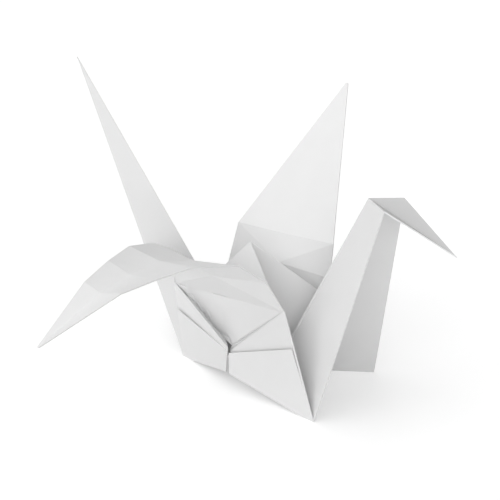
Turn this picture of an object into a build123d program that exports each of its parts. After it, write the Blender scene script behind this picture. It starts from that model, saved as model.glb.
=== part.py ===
from build123d import *
import os

# Sheet
PAPER = 0.20  # one layer
PAIR = 0.30  # two layers pressed flat
FOLD = 0.24  # across a crease between single layers
HEM = 0.50  # across a crease that turns a whole flap back on the wall
RIM = 0.17  # how far the upper layer of a narrowing flap is set over the lower one at its heel

# Body, as half breadths each side of the spine
CREST = (0.0, 0.0, 32.0)  # top of the back
FRONT_FOOT = (27.3, 12.9, -0.4)  # the tips of the feet are pressed flat at the table
REAR_FOOT = (-13.6, 8.7, -0.4)
NEAR_FRONT_HINGE = (16.3, 9.4, 23.4)  # where the wing leaves the wall, neck end
FAR_FRONT_HINGE = (15.5, 10.5, 22.7)
NEAR_REAR_HINGE = (-14.0, 9.3, 20.9)  # where the wing leaves the wall, tail end
FAR_REAR_HINGE = (-13.5, 8.4, 16.6)
NEAR_HINGE_MID = (1.15, 9.35, 22.15)
FAR_HINGE_MID = (1.5, 9.6, 22.9)
BACK_MID = (1.6, 5.3, 22.3)  # on the soft crease down the middle of the back
BACK_FOOT = (2.7, 9.0, 14.9)  # the lower end of that crease, just inside the wall
FRONT_EDGE_TURN = (19.8, 10.5, 15.7)  # back panel meets the front edge
REAR_EDGE_TURN = (-14.3, 9.4, 13.7)  # back panel meets the rear edge
NECK_PIT = (7.6, 0.0, 1.1)  # inner end of the front groove
TAIL_PIT = (-0.9, 0.0, 1.0)  # inner end of the rear groove
WALL_MID = (1.8, 10.0, 8.8)
WALL_FOOT = (1.8, 10.4, 2.8)
POCKET_LIP = (3.1, 9.9, 10.5)  # where the near wall turns in behind its lifted flap
POCKET_BED = (-5.0, 5.0, 13.0)  # deepest point behind that flap

# Narrowing flaps outside each wall: top corner, top corner of the next layer, heel
FRONT_FLAP = ((2.4, 10.9, 8.8), (2.4, 11.0, 8.4), (2.9, 11.8, 3.1))
REAR_FLAP = ((2.0, 11.0, 9.6), (1.2, 10.9, 8.5), (1.1, 10.7, 2.5))
LIFTED_REAR_FLAP = ((2.3, 11.9, 9.9), (1.7, 11.3, 9.3), (1.3, 11.2, 2.7))
LIFTED_CORNER = (-15.3, 9.5, 20.4)  # outer corner of the lifted flap
LIFT = 0.65  # the upper layer stands off the lower one along its top

# Neck, head and tail
NECK_TOP = (31.4, 0.0, 52.2)
BROW = (37.8, 4.1, 52.5)
BEAK = (53.2, 0.0, 44.9)
TAIL_TIP = (-51.9, 0.0, 66.1)
TAIL_FLARE = 0.36  # share of the tail's open edge that flares out to the near wall
FLARE_TOP = (-14.2, 9.9, 25.6)

# Far wing, bent once and laid back
BEND_REAR = (-13.2, 13.0, 27.9)
BEND_MID = (2.3, 13.0, 29.1)
BEND_FRONT = (14.6, 13.0, 30.5)
FAR_TIP = (-8.0, 52.4, 53.3)

# Near wing, curled out and down: reach, rise, then trailing and leading edge (across, up)
CURL_START = (0.5, 9.6, 21.9)
DRIFT = -0.105  # how far the wing sweeps back for each millimetre of reach
CURL = (
    (4.5, 7.5, (-13.9, 2.6), (13.4, 2.6)),
    (10.5, 13.6, (-12.3, 0.5), (11.4, 2.2)),
    (20.6, 17.5, (-9.0, 0.8), (8.7, 1.2)),
    (29.3, 17.8, (-6.1, 1.4), (7.1, 1.1)),
    (37.7, 16.9, (-4.1, 1.5), (6.2, 2.2)),
    (54.6, 11.6, (-0.3, 0.0), (0.3, 0.1)),
)


def at(spot, side=1):
    """A point of the bird, on the far side (1) or the near side (-1)."""
    return Vector(spot[0], side * spot[1], spot[2])


def facet(*corners, thick=PAPER):
    """One flat facet of the sheet, its mid-plane through the first three corners."""
    first, second, third = corners[:3]
    plane = Plane(origin=first, x_dir=second - first, z_dir=(second - first).cross(third - first))
    flat = [plane.to_local_coords(corner) for corner in corners]
    with BuildSketch(plane) as outline:
        with BuildLine():
            Polyline(*[(point.X, point.Y) for point in flat], close=True)
        make_face()
    return extrude(outline.sketch, amount=thick / 2, both=True, mode=Mode.PRIVATE)


def crease(start, end, across=FOLD):
    """The rounded turn of the paper along one fold."""
    with BuildSketch(Plane(origin=start, z_dir=end - start)) as section:
        RegularPolygon(across / 2, 8)
    return extrude(section.sketch, amount=(end - start).length, mode=Mode.PRIVATE)


def flap(corner, turn, foot, corners, side):
    """A narrowing flap: the layer next to the wall and the shorter layer over it."""
    top, next_top, heel = [at(corner, side) for corner in corners]
    lift = Vector(0, side * LIFT, 0)
    rim = Vector(0, side * RIM, 0)
    return [
        facet(foot, corner, top, heel),
        facet(foot, turn + lift, next_top + lift, heel + rim),
    ]


def wing(planes, edges):
    """A wing as one ruled loft, each section two halves of the sheet either side of its crease."""
    half = PAIR / 2
    with BuildPart(mode=Mode.PRIVATE) as sheet:
        for plane, (trail, lead) in zip(planes, edges):
            section = (trail, (0, 0), lead)
            upper = [(across, up + half) for across, up in section]
            lower = [(across, up - half) for across, up in reversed(section)]
            with BuildSketch(plane):
                with BuildLine():
                    Polyline(*upper, *lower, close=True)
                make_face()
        loft(ruled=True)
    return sheet.part


def near_wing():
    """The curled wing, each section square to the run of the curl, and its three facets at the wall."""
    root = at(CURL_START, -1)
    path = [root] + [root + Vector(DRIFT * row[0], -row[0], row[1]) for row in CURL]
    planes = []
    for index, point in enumerate(path[1:], 1):
        after = path[min(index + 1, len(path) - 1)]
        run = Vector(0, 0, 0)
        for leg in (point - path[index - 1], after - point):
            if leg.length > 0:
                run = run + Vector(0, leg.Y, leg.Z).normalized()
        planes.append(Plane(origin=point, x_dir=(1, 0, 0), z_dir=run))
    edges = [(row[2], row[3]) for row in CURL]
    middle = path[1]
    trail, lead = [planes[0].from_local_coords(Vector(*edge, 0)) for edge in edges[0]]
    rear, front = at(NEAR_REAR_HINGE, -1), at(NEAR_FRONT_HINGE, -1)
    return [
        wing(planes, edges),
        facet(rear, middle, front, thick=PAIR),
        facet(rear, trail, middle, thick=PAIR),
        facet(middle, lead, front, thick=PAIR),
        crease(trail, middle, PAIR),
        crease(middle, lead, PAIR),
        crease(rear, middle, PAIR),
        crease(middle, front, PAIR),
    ]


def far_wing():
    """The upper part of the far wing, flat either side of its valley."""
    middle, tip = at(BEND_MID), at(FAR_TIP)
    across = (at(BEND_FRONT) - at(BEND_REAR)).normalized()
    run = (tip - middle) - across * (tip - middle).dot(across)
    plane = Plane(origin=middle, x_dir=across, z_dir=run)
    trail = plane.to_local_coords(at(BEND_REAR))
    lead = plane.to_local_coords(at(BEND_FRONT))
    edges = [((trail.X, trail.Y), (lead.X, lead.Y)), ((-0.3, 0.0), (0.3, 0.1))]
    return wing([plane, Plane(origin=tip, x_dir=across, z_dir=run)], edges)


crest = at(CREST)
neck_pit = at(NECK_PIT)
tail_pit = at(TAIL_PIT)
neck_top = at(NECK_TOP)
beak = at(BEAK)
tail_tip = at(TAIL_TIP)

sheets = near_wing() + [far_wing()]
turns = [
    crease(crest, neck_pit),
    crease(crest, tail_pit),
    crease(neck_pit, neck_top, PAIR),
    crease(neck_top, beak, PAIR),
    crease(tail_pit, tail_tip, PAIR),
]

for side in (-1, 1):
    near = side < 0
    front_foot = at(FRONT_FOOT, side)
    rear_foot = at(REAR_FOOT, side)
    front_hinge = at(NEAR_FRONT_HINGE if near else FAR_FRONT_HINGE, side)
    rear_hinge = at(NEAR_REAR_HINGE if near else FAR_REAR_HINGE, side)
    rear_corner = at(LIFTED_CORNER if near else FAR_REAR_HINGE, side)
    hinge_mid = at(NEAR_HINGE_MID if near else FAR_HINGE_MID, side)
    front_turn = at(FRONT_EDGE_TURN, side)
    rear_turn = at(REAR_EDGE_TURN, side)
    back_mid = at(BACK_MID, side)
    back_foot = at(BACK_FOOT, side)
    wall_mid = at(WALL_MID, side)
    wall_foot = at(WALL_FOOT, side)
    lip = at(POCKET_LIP if near else WALL_MID, side)
    brow = at(BROW, side)

    sheets += [
        facet(crest, front_turn, back_mid),
        facet(crest, rear_turn, back_mid),
        facet(back_mid, front_turn, back_foot),
        facet(back_mid, rear_turn, back_foot),
        facet(crest, front_turn, front_foot, neck_pit),
        facet(crest, rear_turn, rear_foot, tail_pit),
        facet(front_foot, brow, neck_top, neck_pit, thick=PAIR),
        facet(neck_top, brow, beak, thick=PAIR),
        facet(rear_foot, tail_tip, tail_pit, thick=PAIR),
        facet(rear_hinge, lip, hinge_mid),
        facet(front_hinge, lip, hinge_mid),
        facet(front_hinge, front_foot, wall_mid),
        facet(front_foot, wall_foot, wall_mid),
    ]
    if near:
        bed = at(POCKET_BED, side)
        ledge = at(LIFTED_REAR_FLAP[0], side)
        flare = rear_foot + (tail_tip - rear_foot) * TAIL_FLARE
        sheets += [
            facet(flare, rear_foot, rear_corner, at(FLARE_TOP, side)),
            facet(rear_corner, ledge, bed),
            facet(rear_hinge, lip, bed),
            facet(front_hinge, lip, wall_mid),
        ]
        turns += [
            crease(rear_foot, flare),
            crease(rear_corner, rear_hinge),
            crease(rear_corner, bed),
            crease(rear_hinge, bed),
            crease(rear_hinge, lip),
            crease(lip, bed),
            crease(lip, wall_mid),
        ]
    else:
        sheets += [
            facet(rear_hinge, rear_foot, wall_mid),
            facet(rear_foot, wall_foot, wall_mid),
        ]
        turns += [
            crease(rear_hinge, wall_mid),
            crease(rear_foot, wall_mid),
        ]
    sheets += flap(front_hinge, front_turn, front_foot, FRONT_FLAP, side)
    sheets += flap(rear_corner, rear_turn, rear_foot, LIFTED_REAR_FLAP if near else REAR_FLAP, side)
    turns += [
        crease(crest, front_turn),
        crease(crest, rear_turn),
        crease(crest, back_mid),
        crease(back_mid, back_foot),
        crease(back_mid, front_turn),
        crease(back_mid, rear_turn),
        crease(front_hinge, front_foot, HEM),
        crease(rear_corner, rear_foot, HEM),
        crease(front_foot, neck_pit),
        crease(rear_foot, tail_pit),
        crease(neck_top, brow, PAIR),
        crease(rear_hinge, hinge_mid, PAIR),
        crease(hinge_mid, front_hinge, PAIR),
        crease(front_hinge, lip),
        crease(hinge_mid, lip),
        crease(wall_mid, wall_foot),
        crease(front_foot, wall_mid),
    ]

bend_rear, bend_mid, bend_front = at(BEND_REAR), at(BEND_MID), at(BEND_FRONT)
sheets += [
    facet(rear_hinge, hinge_mid, bend_rear, thick=PAIR),
    facet(hinge_mid, bend_mid, bend_rear, thick=PAIR),
    facet(hinge_mid, bend_front, bend_mid, thick=PAIR),
    facet(hinge_mid, front_hinge, bend_front, thick=PAIR),
]
turns += [
    crease(bend_rear, bend_mid, PAIR),
    crease(bend_mid, bend_front, PAIR),
    crease(hinge_mid, bend_mid, PAIR),
    crease(hinge_mid, bend_front, PAIR),
    crease(hinge_mid, bend_rear, PAIR),
]

with BuildPart() as folded_crane:
    add(sheets + turns)
    split(bisect_by=Plane.XY, keep=Keep.TOP)

# The bird stands on the origin, at the middle of its outline from above
stance = folded_crane.part.bounding_box()
bird = folded_crane.part.moved(Location((-stance.center().X, -stance.center().Y, -stance.min.Z)))
bird.label = "folded_crane"
os.makedirs("parts", exist_ok=True)
export_step(bird, "parts/folded_crane.step")
print(len(bird.solids()), bird.volume, bird.is_valid, stance.center())
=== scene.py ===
"""Dresses the folded paper crane and sets it on a white table under soft light.

Lengths are in metres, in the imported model's own frame: the head points to +X, the near wing to -Y,
and the table is at z = 0.
"""

from __future__ import annotations

import logging
import math
from collections.abc import Iterable
from dataclasses import dataclass, field
from enum import Enum
from typing import Any, Union

import bpy
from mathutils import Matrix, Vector

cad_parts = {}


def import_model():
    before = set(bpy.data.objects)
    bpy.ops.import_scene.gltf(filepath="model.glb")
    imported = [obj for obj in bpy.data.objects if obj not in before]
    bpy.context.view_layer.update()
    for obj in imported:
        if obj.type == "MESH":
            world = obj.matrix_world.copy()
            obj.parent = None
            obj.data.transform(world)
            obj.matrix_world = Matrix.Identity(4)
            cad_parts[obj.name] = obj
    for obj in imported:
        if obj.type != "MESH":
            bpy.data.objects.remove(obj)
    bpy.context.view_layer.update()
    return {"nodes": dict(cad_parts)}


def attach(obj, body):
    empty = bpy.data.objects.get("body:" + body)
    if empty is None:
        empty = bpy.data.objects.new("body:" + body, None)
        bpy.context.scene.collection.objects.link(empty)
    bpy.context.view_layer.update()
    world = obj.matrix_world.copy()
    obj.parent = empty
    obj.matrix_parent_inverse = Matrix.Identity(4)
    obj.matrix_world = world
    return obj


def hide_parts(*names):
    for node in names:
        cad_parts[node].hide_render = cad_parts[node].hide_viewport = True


LOG = logging.getLogger("crane")

Point = tuple[float, float, float]
Colour = tuple[float, float, float, float]
Value = Union["Wire", float, Colour]

# The two ends of the pocket's mouth: under the tail, and at the middle of the near wall.
MOUTH_CORNER: Point = (-0.0146, -0.0034, 0.0209)
MOUTH_LIP: Point = (0.0025, -0.0040, 0.0105)


class Arith(Enum):
    """Arithmetic that a wire can do, by its Math node operation."""

    ADD = "ADD"
    SUBTRACT = "SUBTRACT"
    MULTIPLY = "MULTIPLY"
    MAXIMUM = "MAXIMUM"
    ABOVE = "GREATER_THAN"


def grey(level: float) -> Colour:
    """A grey of one level."""
    return (level, level, level, 1.0)


class Graph:
    """The node tree of a material or a world, with one way to add any node."""

    def __init__(self, owner: bpy.types.ID) -> None:
        """Starts an empty tree.

        Args:
            owner: The material or world that the tree belongs to.
        """
        owner.use_nodes = True
        self.tree = owner.node_tree
        self.tree.nodes.clear()

    def add(self, kind: str, settings: dict[str, Any] | None = None, **inputs: Value) -> bpy.types.Node:
        """Adds a node, its settings first and then its sockets.

        Args:
            kind: The node's type, such as "ShaderNodeTexNoise".
            settings: Attributes of the node, set before its sockets.
            inputs: Socket values or wires, by socket name or as s0, s1 for an index.

        Returns:
            The new node.
        """
        node = self.tree.nodes.new(kind)
        for key, value in (settings or {}).items():
            setattr(node, key, value)
        for key, value in inputs.items():
            by_index = key[0] == "s" and key[1:].isdigit()
            socket = node.inputs[int(key[1:]) if by_index else key.replace("_", " ")]
            if isinstance(value, Wire):
                self.tree.links.new(value.socket, socket)
            else:
                socket.default_value = value
        return node

    def wire(
        self,
        kind: str,
        out: str | int = 0,
        settings: dict[str, Any] | None = None,
        **inputs: Value,
    ) -> Wire:
        """Adds a node and returns one of its outputs as a wire.

        Args:
            kind: The node's type.
            out: The output's name or index.
            settings: Attributes of the node.
            inputs: Socket values or wires.

        Returns:
            The output as a wire.
        """
        return Wire(self, self.add(kind, settings, **inputs).outputs[out])

    def seen(self) -> Wire:
        """1 for what is seen directly, in a gloss or through glass, and 0 for light on its way."""
        rays = self.add("ShaderNodeLightPath").outputs
        names = ("Is Camera Ray", "Is Glossy Ray", "Is Transmission Ray")
        direct, gloss, glass = [Wire(self, rays[name]) for name in names]
        return direct | gloss | glass


class Wire:
    """A number on its way through a material, with the operators that the materials use."""

    def __init__(self, graph: Graph, socket: bpy.types.NodeSocket) -> None:
        """Wraps a socket.

        Args:
            graph: The graph that the socket belongs to.
            socket: An output socket.
        """
        self.graph = graph
        self.socket = socket

    def _math(self, arith: Arith, first: Value, second: Value) -> Wire:
        """Adds one Math node.

        Args:
            arith: The operation.
            first: The first operand.
            second: The second operand.

        Returns:
            The result.
        """
        return self.graph.wire("ShaderNodeMath", settings={"operation": arith.value}, s0=first, s1=second)

    def __add__(self, other: Value) -> Wire:
        """Sum."""
        return self._math(Arith.ADD, self, other)

    def __radd__(self, other: Value) -> Wire:
        """Sum with a number on the left."""
        return self._math(Arith.ADD, other, self)

    def __rsub__(self, other: Value) -> Wire:
        """Difference from a number on the left."""
        return self._math(Arith.SUBTRACT, other, self)

    def __mul__(self, other: Value) -> Wire:
        """Product."""
        return self._math(Arith.MULTIPLY, self, other)

    def __rmul__(self, other: Value) -> Wire:
        """Product with a number on the left."""
        return self._math(Arith.MULTIPLY, other, self)

    def __gt__(self, other: Value) -> Wire:
        """1 where this is above the other value, else 0."""
        return self._math(Arith.ABOVE, self, other)

    def __or__(self, other: Value) -> Wire:
        """The larger of two masks."""
        return self._math(Arith.MAXIMUM, self, other)


@dataclass(frozen=True)
class HeadShadeMask:
    """The head, reversed out of the neck; its up-facing facets are painted a darker grey as shade.

    Attributes:
        start: How far forward the head starts, in metres.
        upward: How far a facet must face up to be painted darker as shade.
    """

    start: float = 0.030
    upward: float = 0.6

    def inside(self, graph: Graph, place: Wire) -> Wire:
        """Works out where the head's painted shade goes.

        Args:
            graph: The material's graph.
            place: Object coordinates.

        Returns:
            1 where the shade is painted, else 0.
        """
        # Painted shade: the mask picks the head's up-facing facets, whose colour is darkened.
        normal = graph.wire("ShaderNodeNewGeometry", "True Normal")
        along = graph.wire("ShaderNodeSeparateXYZ", "X", Vector=place)
        faces_up = graph.wire("ShaderNodeSeparateXYZ", "Z", Vector=normal)
        return (along > self.start) * (faces_up > self.upward)


@dataclass(frozen=True)
class PaperFinish:
    """Matt, uncoated white paper, with painted shade on the head's up-facing facets.

    Attributes:
        name: The material's name.
        shade: Grey level of the sheet where it is thinnest.
        head_shade_share: Share of that level left where the head's shade is painted.
        cloud: How much the sheet's cloudiness brightens it.
        cloud_scale: Clouds per metre.
        cloud_detail: Finer layers in the clouds.
        fibre: How much the fibres brighten the sheet.
        fibre_scale: Fibres per metre.
        fibre_detail: Finer layers in the fibres.
        fibre_depth: Height of the fibres in metres.
        fibre_relief: Share of that height that the light shows.
        roughness: Roughness between the fibres.
        fibre_rough: How much the fibres roughen the sheet.
    """

    name: str = "white_paper"
    shade: float = 0.765
    head_shade_share: float = 0.72
    cloud: float = 0.03
    cloud_scale: float = 160.0
    cloud_detail: float = 3.0
    fibre: float = 0.012
    fibre_scale: float = 3200.0
    fibre_detail: float = 4.0
    fibre_depth: float = 0.00004
    fibre_relief: float = 0.25
    roughness: float = 0.77
    fibre_rough: float = 0.1

    def material(self, head: HeadShadeMask) -> bpy.types.Material:
        """Builds the material.

        Args:
            head: Where the head's colour is painted darker as shade.

        Returns:
            The finished material.
        """
        paper = bpy.data.materials.new(self.name)
        graph = Graph(paper)
        noise = "ShaderNodeTexNoise"
        place = graph.wire("ShaderNodeTexCoord", "Object")
        cloud = graph.wire(noise, Vector=place, Scale=self.cloud_scale, Detail=self.cloud_detail)
        fibre = graph.wire(noise, Vector=place, Scale=self.fibre_scale, Detail=self.fibre_detail)
        # Painted shade: up-facing facets of the head get a darker grey in the colour.
        painted_shade = 1.0 - (1.0 - self.head_shade_share) * head.inside(graph, place)
        level = (self.shade + self.cloud * cloud + self.fibre * fibre) * painted_shade
        colour = graph.wire("ShaderNodeCombineColor", Red=level, Green=level, Blue=level)
        rough = self.roughness + self.fibre_rough * fibre
        bump = graph.wire(
            "ShaderNodeBump", Strength=self.fibre_relief, Distance=self.fibre_depth, Height=fibre
        )
        shader = graph.wire("ShaderNodeBsdfPrincipled", Base_Color=colour, Roughness=rough, Normal=bump)
        graph.add("ShaderNodeOutputMaterial", Surface=shader)
        return paper


class Pick(Enum):
    """What is picked on a mesh, by Blender's select mode."""

    POINTS = "VERT"
    FACES = "FACE"


def pick(sheet: bpy.types.Object, kind: Pick, wanted: Iterable[int]) -> None:
    """Picks some of the sheet's points or faces and nothing else, and stays in edit mode.

    Args:
        sheet: The sheet, which is the active object.
        kind: Whether points or faces are picked.
        wanted: Their indices.
    """
    bpy.ops.object.mode_set(mode="EDIT")
    bpy.ops.mesh.select_mode(type=kind.value)
    bpy.ops.mesh.select_all(action="DESELECT")
    bpy.ops.object.mode_set(mode="OBJECT")
    parts = sheet.data.vertices if kind is Pick.POINTS else sheet.data.polygons
    for index in wanted:
        parts[index].select = True
    bpy.ops.object.mode_set(mode="EDIT")


def corners_of(sheet: bpy.types.Object, face: bpy.types.MeshPolygon) -> list[Vector]:
    """The places of a face's corners."""
    return [sheet.data.vertices[index].co for index in face.vertices]


@dataclass(frozen=True)
class Line:
    """A line across the sheet, or a spot where both ends are the same.

    Attributes:
        start: One end, in metres.
        end: The other end.
        near: How close to the line a point has to be to count as on it, in metres.
    """

    start: Point
    end: Point
    near: float

    @classmethod
    def spot(cls, place: Point, near: float) -> Line:
        """A line of no length."""
        return cls(place, place, near)

    def holds(self, point: Vector) -> bool:
        """Says whether a point is on the line.

        Args:
            point: The point, in metres.

        Returns:
            True where it is near enough.
        """
        away = point - Vector(self.start)
        along = Vector(self.end) - Vector(self.start)
        share = 0.0
        if along.length_squared > 0.0:
            share = min(1.0, max(0.0, away.dot(along) / along.length_squared))
        return (away - share * along).length < self.near


class Ease(Enum):
    """How a push fades with distance, by Blender's falloff."""

    NONE = "CONSTANT"
    EVEN = "LINEAR"
    CURLED = "SHARP"


@dataclass(frozen=True)
class Push:
    """A push on part of the sheet, as with a fingertip.

    Attributes:
        line: Where the sheet is pushed.
        move: How far it goes, in metres.
        reach: How far round the line the paper follows, in metres, unless the ease is NONE.
        ease: How the push fades over that reach.
        along_paper: Whether the reach is measured along the paper and not through the air.
    """

    line: Line
    move: Point
    reach: float = 0.001
    ease: Ease = Ease.NONE
    along_paper: bool = False

    def give(self, sheet: bpy.types.Object) -> None:
        """Pushes the sheet.

        Args:
            sheet: The sheet, with its triangles joined, which is the active object.
        """
        on_line = [point.index for point in sheet.data.vertices if self.line.holds(point.co)]
        pick(sheet, Pick.POINTS, on_line)
        bpy.ops.transform.translate(
            value=self.move,
            use_proportional_edit=self.ease is not Ease.NONE,
            use_proportional_connected=self.along_paper,
            proportional_edit_falloff=self.ease.value,
            proportional_size=self.reach,
        )
        bpy.ops.object.mode_set(mode="OBJECT")


@dataclass(frozen=True)
class PocketMouth:
    """The wall's lower edge behind the lifted flap, where the paper bends softly into the pocket.

    Attributes:
        corner: Where the mouth starts, under the tail, in metres.
        lip: Where it ends, at the middle of the wall, in metres.
        top: Middle of the wall's top fold, in metres.
        back: Middle of the back's near panel, which runs down behind the wall, in metres.
        near: How close to those points or lines a point counts as on them, in metres.
        wide: Area above which a face is one of the wall's own, in square metres.
        panel: Area above which a face is one of the back panel's own, in square metres.
        long: Length along the mouth above which a face runs along it, in metres.
        cuts: How many times each face round the mouth is divided.
        finest: Length under which an edge is closed up after the division, in metres.
        corner_tuck: What tucks in the flap's corner under the tail.
        floor_tuck: What tucks in the strip at the foot of the pocket.
        lip_bend: What bends the wall at the lip.
        edge_bend: What draws in the wall's edge between the corner and the lip.
        bed_sink: What sinks the pocket's bed behind the edge.
    """

    corner: Point = MOUTH_CORNER
    lip: Point = MOUTH_LIP
    top: Point = (0.0006, -0.0035, 0.0220)
    back: Point = (0.0010, 0.0005, 0.0222)
    near: float = 0.0004
    wide: float = 0.00005
    panel: float = 0.000025
    long: float = 0.009
    cuts: int = 18
    finest: float = 0.00002
    corner_tuck: Push = Push(Line.spot(MOUTH_CORNER, near=0.0005), move=(-0.0009, -0.0001, -0.0004))
    floor_tuck: Push = Push(
        Line((-0.0098, -0.0023, 0.0164), (-0.0115, -0.0018, 0.0174), near=0.0003),
        move=(0.0, 0.0006, -0.0014),
    )
    lip_bend: Push = Push(
        Line.spot(MOUTH_LIP, near=0.0005),
        move=(-0.0011, 0.0, -0.0010),
        reach=0.0025,
        ease=Ease.EVEN,
        along_paper=True,
    )
    edge_bend: Push = Push(
        Line((-0.0108, -0.0035, 0.0186), (-0.0008, -0.0039, 0.0125), near=0.0004),
        move=(-0.0014, 0.0021, -0.0021),
        reach=0.0048,
        ease=Ease.CURLED,
        along_paper=True,
    )
    bed_sink: Push = Push(
        Line.spot((-0.0056, 0.0009, 0.0130), near=0.0012),
        move=(0.0, 0.001, -0.005),
        reach=0.0060,
        ease=Ease.EVEN,
    )

    def wall_faces(self, sheet: bpy.types.Object) -> list[int]:
        """Finds the wall's faces round the mouth and the folds along it.

        Args:
            sheet: The joined sheet.

        Returns:
            The faces' indices.
        """
        mouth = Line(self.corner, self.lip, self.near)
        fold = Line(self.lip, self.top, self.near)
        lip = Line.spot(self.lip, self.near)
        found = []
        for face in sheet.data.polygons:
            corners = corners_of(sheet, face)
            at_mouth = [corner.x for corner in corners if mouth.holds(corner)]
            along = max(at_mouth) - min(at_mouth) if at_mouth else 0.0
            at_lip = any(lip.holds(corner) for corner in corners)
            in_fold = all(fold.holds(corner) for corner in corners)
            if along > self.long or in_fold or (at_lip and face.area > self.wide):
                found.append(face.index)
        return found

    def panel_faces(self, sheet: bpy.types.Object) -> list[int]:
        """Finds the faces of the back's panel that runs down behind the wall.

        Args:
            sheet: The joined sheet.

        Returns:
            The faces' indices.
        """
        back = Line.spot(self.back, self.near)
        found = []
        for face in sheet.data.polygons:
            corners = corners_of(sheet, face)
            at_back = any(back.holds(corner) for corner in corners)
            low = min(corner.z for corner in corners) < self.corner[2]
            if at_back and low and face.area > self.panel:
                found.append(face.index)
        return found

    def divide(self, sheet: bpy.types.Object, faces: list[int], soft: bool) -> None:
        """Divides faces so that they can bend.

        Args:
            sheet: The joined sheet, which is the active object.
            faces: The indices of the faces.
            soft: Whether the bend is shaded without facets.
        """
        pick(sheet, Pick.FACES, faces)
        bpy.ops.mesh.subdivide(number_cuts=self.cuts)
        bpy.ops.mesh.dissolve_degenerate(threshold=self.finest)
        if soft:
            bpy.ops.mesh.faces_shade_smooth()
        bpy.ops.object.mode_set(mode="OBJECT")

    def bend(self, sheet: bpy.types.Object) -> None:
        """Draws the edge in, and the paper above it with it.

        Args:
            sheet: The joined sheet, which is the active object.
        """
        # The wall's faces are found by their place, so before anything moves.
        wall = self.wall_faces(sheet)
        # The tucks come before the division, or the flap's corner stands out as a spike.
        self.corner_tuck.give(sheet)
        self.floor_tuck.give(sheet)
        self.divide(sheet, wall, soft=True)
        # The panel behind the wall is divided too, so that only its foot follows the bend.
        self.divide(sheet, self.panel_faces(sheet), soft=False)
        self.lip_bend.give(sheet)
        self.edge_bend.give(sheet)
        self.bed_sink.give(sheet)
        LOG.info("bent the pocket's mouth")


@dataclass
class Crane:
    """The folded bird.

    Attributes:
        node: The CAD node that is the sheet.
        name: The dressed sheet's name.
        finish: The paper it is folded from.
        head: Where the head's colour is painted darker as shade.
        mouth: The soft bend behind the lifted flap.
        weld: Distance within which the sheet's triangles are joined, in metres.
    """

    node: str = "folded_crane"
    name: str = "paper_sheet"
    finish: PaperFinish = field(default_factory=PaperFinish)
    head: HeadShadeMask = field(default_factory=HeadShadeMask)
    mouth: PocketMouth = field(default_factory=PocketMouth)
    weld: float = 0.0000001

    def build(self, nodes: dict[str, bpy.types.Object]) -> bpy.types.Object:
        """Copies the folded sheet, joins its triangles and bends the pocket's mouth.

        Args:
            nodes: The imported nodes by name.

        Returns:
            The sheet that is shown.
        """
        sheet = bpy.data.objects.new(self.name, nodes[self.node].data.copy())
        bpy.context.scene.collection.objects.link(sheet)
        bpy.ops.object.select_all(action="DESELECT")
        sheet.select_set(True)
        bpy.context.view_layer.objects.active = sheet
        # Stored normals would not follow the bend, so they go and the facets are shaded flat.
        bpy.ops.mesh.customdata_custom_splitnormals_clear()
        bpy.ops.object.shade_flat()
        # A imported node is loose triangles, which have to be joined before the paper can bend.
        bpy.ops.object.mode_set(mode="EDIT")
        bpy.ops.mesh.select_all(action="SELECT")
        bpy.ops.mesh.remove_doubles(threshold=self.weld)
        bpy.ops.object.mode_set(mode="OBJECT")
        self.mouth.bend(sheet)
        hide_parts(self.node)
        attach(sheet, "root")
        LOG.info("folded %s", self.name)
        return sheet

    def dress(self, sheet: bpy.types.Object) -> None:
        """Gives the sheet its paper.

        Args:
            sheet: The sheet that is shown.
        """
        sheet.data.materials.clear()
        # The paper's colour carries painted shade on the head.
        sheet.data.materials.append(self.finish.material(self.head))
        LOG.info("dressed %s", self.name)


@dataclass(frozen=True)
class Lamp:
    """A large soft lamp, far enough away to count as a direction.

    Attributes:
        name: The lamp's name.
        azimuth: Degrees from the front (-Y) towards +X.
        elevation: Degrees above the table.
        strength: Irradiance in watts per square metre.
        spread: Angle that the lamp covers, in degrees.
    """

    name: str
    azimuth: float
    elevation: float
    strength: float
    spread: float

    def hang(self) -> None:
        """Hangs the lamp."""
        turn = math.radians(self.azimuth)
        rise = math.radians(self.elevation)
        source = Vector((math.sin(turn) * math.cos(rise), -math.cos(turn) * math.cos(rise), math.sin(rise)))
        bpy.ops.object.light_add(type="SUN", location=source)
        lamp = bpy.context.active_object
        lamp.name = self.name
        lamp.data.energy = self.strength
        lamp.data.angle = math.radians(self.spread)
        lamp.rotation_euler = (-source).to_track_quat("-Z", "Y").to_euler()
        LOG.info("hung %s", self.name)


LAMPS = (
    Lamp("front_lamp", azimuth=45.0, elevation=12.0, strength=1.10, spread=50.0),
    Lamp("wide_front_lamp", azimuth=0.0, elevation=12.0, strength=1.20, spread=90.0),
    Lamp("left_lamp", azimuth=310.0, elevation=30.0, strength=0.48, spread=50.0),
    Lamp("high_lamp", azimuth=270.0, elevation=68.0, strength=1.46, spread=80.0),
    Lamp("wide_high_lamp", azimuth=90.0, elevation=68.0, strength=0.68, spread=90.0),
)


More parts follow.
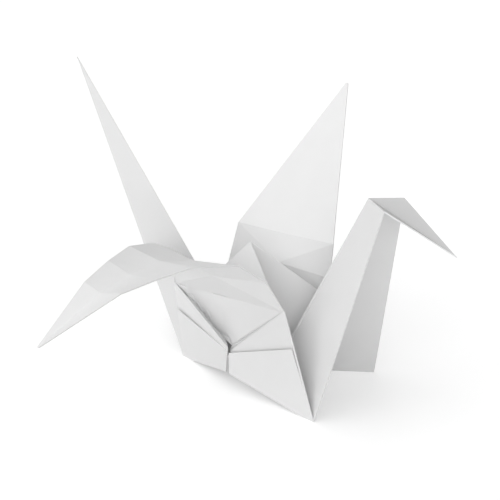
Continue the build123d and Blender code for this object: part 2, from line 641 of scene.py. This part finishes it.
@dataclass
class Studio:
    """White table, soft light and the camera.

    Attributes:
        table_size: Side of the table in metres.
        table_shade: Grey level of the table as it lights the bird.
        table_glow: White that the camera sees in the table, under the shadow.
        table_shadow: Grey level that carries the shadow.
        lamps: The soft lamps.
        azimuth: The camera's azimuth in degrees, from the front (-Y) towards +X.
        elevation: The camera's elevation in degrees.
        camera_place: Where the camera stands, in metres.
        lens: Focal length in millimetres.
        frame_width: Width of the camera's frame in millimetres.
        nearest: How close to the camera anything shows, in metres.
    """

    table_size: float = 6.0
    table_shade: float = 0.85
    table_glow: float = 0.38
    table_shadow: float = 0.76
    lamps: tuple[Lamp, ...] = LAMPS
    azimuth: float = 36.54
    elevation: float = 28.0
    camera_place: Point = (0.164625, -0.21724, 0.17748)
    lens: float = 97.2
    frame_width: float = 36.0
    nearest: float = 0.01

    def laminate(self) -> bpy.types.Material:
        """Builds the table's white, which shows bright to the eye and still takes the shadow.

        Returns:
            The finished material.
        """
        laminate = bpy.data.materials.new("table_white")
        graph = Graph(laminate)
        lit = graph.wire("ShaderNodeBsdfDiffuse", Color=grey(self.table_shade))
        glow = graph.wire("ShaderNodeEmission", Color=grey(1.0), Strength=self.table_glow)
        shadow = graph.wire("ShaderNodeBsdfDiffuse", Color=grey(self.table_shadow))
        white = graph.wire("ShaderNodeAddShader", s0=glow, s1=shadow)
        surface = graph.wire("ShaderNodeMixShader", Fac=graph.seen(), s1=lit, s2=white)
        graph.add("ShaderNodeOutputMaterial", Surface=surface)
        return laminate

    def table(self) -> None:
        """Lays the white table."""
        bpy.ops.object.select_all(action="DESELECT")
        bpy.ops.mesh.primitive_plane_add(size=self.table_size)
        top = bpy.context.active_object
        top.name = "table_top"
        top.data.materials.append(self.laminate())
        LOG.info("laid %s", top.name)

    def light(self) -> None:
        """Hangs the lamps under a sky that is white to the eye and gives no light of its own."""
        sky = bpy.data.worlds.new("studio_sky")
        graph = Graph(sky)
        white = graph.wire("ShaderNodeBackground", Color=grey(1.0), Strength=graph.seen())
        graph.add("ShaderNodeOutputWorld", Surface=white)
        bpy.context.scene.world = sky
        for lamp in self.lamps:
            lamp.hang()

    def camera(self) -> None:
        """Sets the camera at the angle from which the bird was seen."""
        turn = (math.radians(90.0 - self.elevation), 0.0, math.radians(self.azimuth))
        bpy.ops.object.camera_add(location=self.camera_place, rotation=turn)
        camera = bpy.context.active_object
        camera.data.sensor_width = self.frame_width
        camera.data.lens = self.lens
        camera.data.clip_start = self.nearest
        bpy.context.scene.camera = camera

    def build(self) -> None:
        """Puts up the table, the light and the camera."""
        self.table()
        self.light()
        self.camera()
        bpy.context.scene.view_settings.view_transform = "Standard"
        LOG.info("studio ready")


def main() -> None:
    """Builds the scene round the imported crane."""
    logging.basicConfig(level=logging.INFO)
    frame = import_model()
    crane = Crane()
    crane.dress(crane.build(frame["nodes"]))
    Studio().build()


if __name__ == "__main__":
    main()
